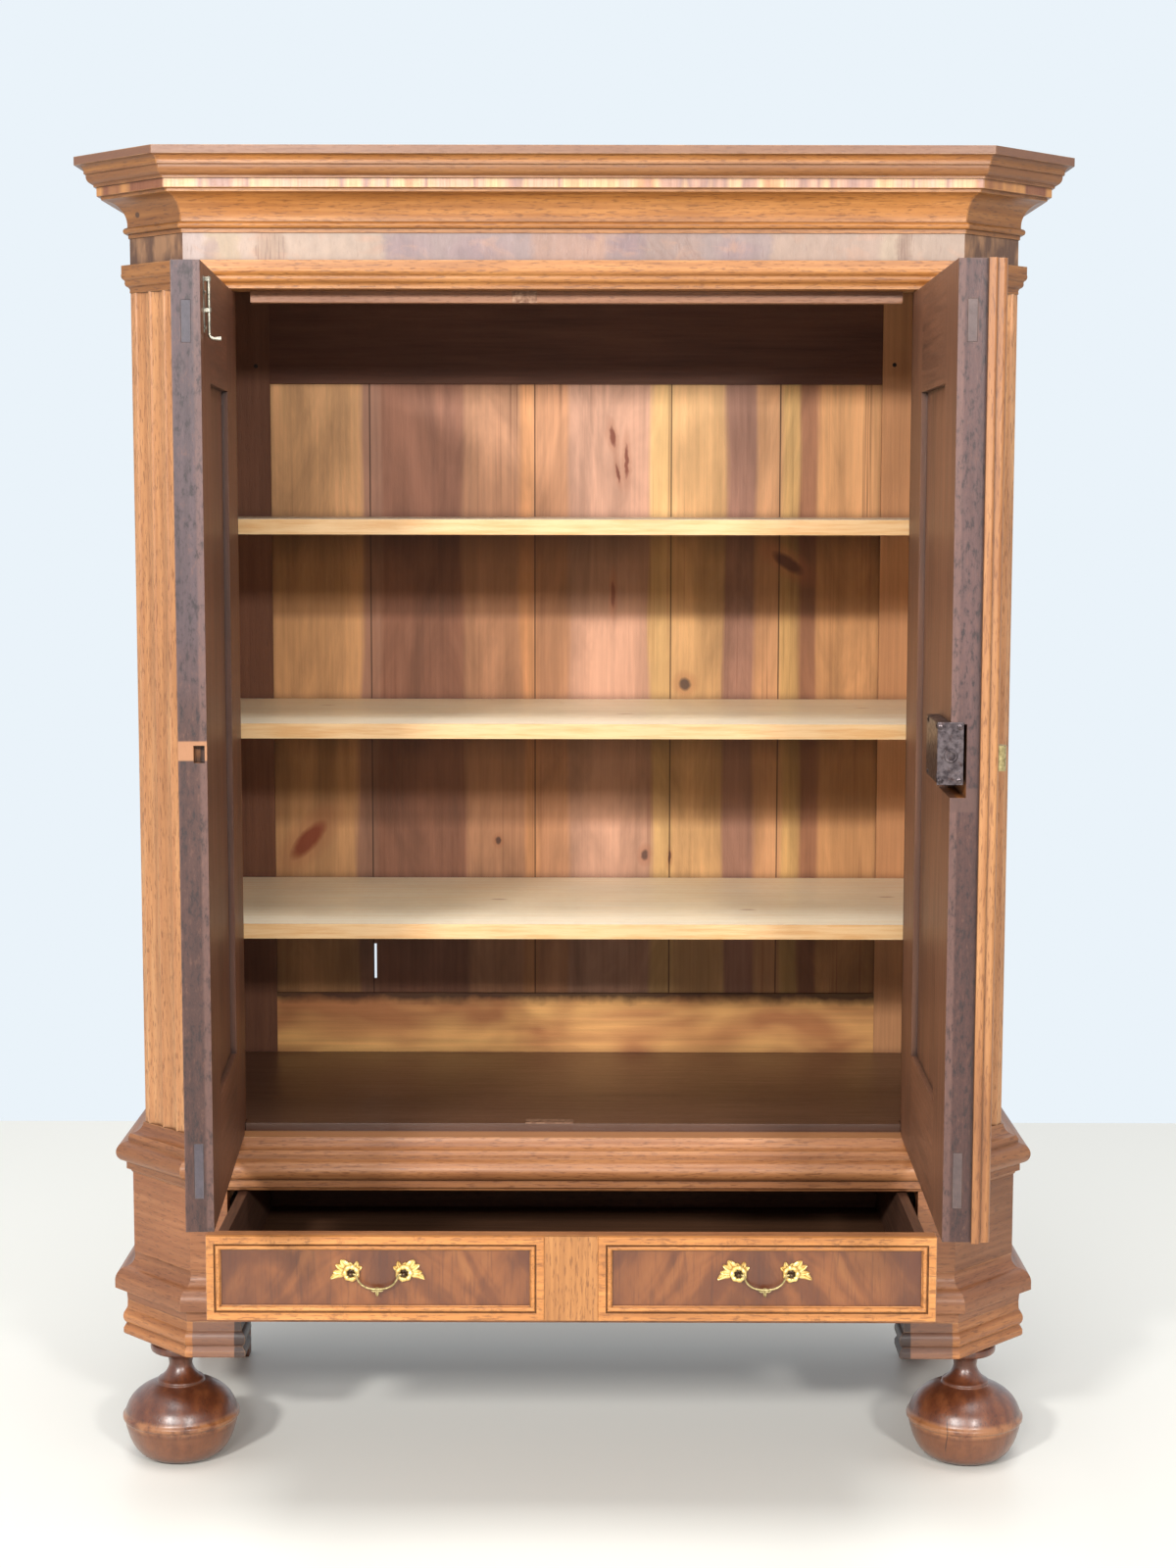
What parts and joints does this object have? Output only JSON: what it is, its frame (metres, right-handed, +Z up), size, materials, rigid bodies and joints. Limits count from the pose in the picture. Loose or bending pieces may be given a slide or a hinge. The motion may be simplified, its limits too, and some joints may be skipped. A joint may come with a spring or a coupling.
{
  "type": "cupboard",
  "caption": "Free-standing linen cupboard with canted corners, two hinged panelled doors, loose shelves, a drawer with bail pulls in the base, and turned ball feet in front.",
  "frame": {"origin": "on the floor, midway between the sides and between the front and back limits of the part as stored", "axes": "+Z up, +X to the right seen from the front, +Y from the front to the back"},
  "size_m": [1.452, 1.1169, 1.95],
  "materials": {
    "oak": "waxed, honey brown",
    "softwood": "stained, dull",
    "pine": "planed, unfinished",
    "walnut": "veneer, polished",
    "iron": "forged, dark",
    "steel": "worn",
    "brass": "polished"
  },
  "bodies": {
    "carcass": {"architrave": "oak", "back_boards": "softwood", "back_rails": "softwood", "base_back": "softwood", "base_moulding": "oak", "bracket_left": "oak", "bracket_right": "oak", "capitals": "oak", "corner_blocks": "softwood", "corner_post_left": "oak", "corner_post_right": "oak", "cornice": "oak", "cornice_back_rail": "oak", "drawer_runners": "softwood", "floor_bearers": "softwood", "floor_boards": "softwood", "frieze": "walnut", "front_feet": "oak", "front_top_rail": "oak", "jamb_hinges": "iron", "pilaster_left": "oak", "pilaster_right": "oak", "plinth_left": "oak", "plinth_right": "oak", "rear_feet": "oak", "rear_posts": "softwood", "shelf_cleats": "softwood", "shelf_lower": "pine", "shelf_middle": "pine", "shelf_upper": "pine", "side_frames": "oak", "side_panels": "oak", "stop_batten": "oak", "strike_plates": "iron", "top_boards": "softwood", "waist_moulding": "oak"},
    "left_door": {"left_door_stiles": "oak", "left_door_rails": "oak", "left_door_panel": "oak", "left_door_hinges": "iron", "bolt_plate": "steel"},
    "right_door": {"right_door_stiles": "oak", "right_door_rails": "oak", "right_door_panel": "oak", "right_door_hinges": "iron", "closing_strip": "oak", "lock_case": "iron", "escutcheon": "brass"},
    "drawer": {"drawer_front": "oak", "drawer_sides": "oak", "drawer_back": "oak", "drawer_bottom": "softwood", "drawer_frames": "oak", "drawer_fields": "walnut", "drawer_centre": "oak", "rosettes": "brass"},
    "door_bolt": {"bolt_rod": "steel"},
    "lock_bolt": {"lock_bolt": "iron"},
    "bail_left": {"bail_left": "brass"},
    "bail_right": {"bail_right": "brass"}
  },
  "joints": [
    {"name": "left_door_hinge", "type": "hinge", "parent": "carcass", "child": "left_door", "pos_m": [-0.5293, -0.005, 1.1], "axis": [0, 0, 1], "range_deg": [-20, 86.65]},
    {"name": "right_door_hinge", "type": "hinge", "parent": "carcass", "child": "right_door", "pos_m": [0.5293, -0.005, 1.1], "axis": [0, 0, 1], "range_deg": [-88.67, 20]},
    {"name": "drawer_slide", "type": "slide", "parent": "carcass", "child": "drawer", "axis": [0, 1, 0], "range_m": [-0.15, 0.235]},
    {"name": "door_bolt_slide", "type": "slide", "parent": "left_door", "child": "door_bolt", "axis": [0, 0, 1], "range_m": [0, 0.016]},
    {"name": "lock_bolt_slide", "type": "slide", "parent": "right_door", "child": "lock_bolt", "axis": [-0.0232, -0.9997, 0], "range_m": [0, 0.014]},
    {"name": "left_bail_hinge", "type": "hinge", "parent": "drawer", "child": "bail_left", "pos_m": [-0.271, -0.2525, 0.381], "axis": [-1, 0, 0], "range_deg": [0, 95]},
    {"name": "right_bail_hinge", "type": "hinge", "parent": "drawer", "child": "bail_right", "pos_m": [0.271, -0.2525, 0.381], "axis": [-1, 0, 0], "range_deg": [0, 95]}
  ]
}
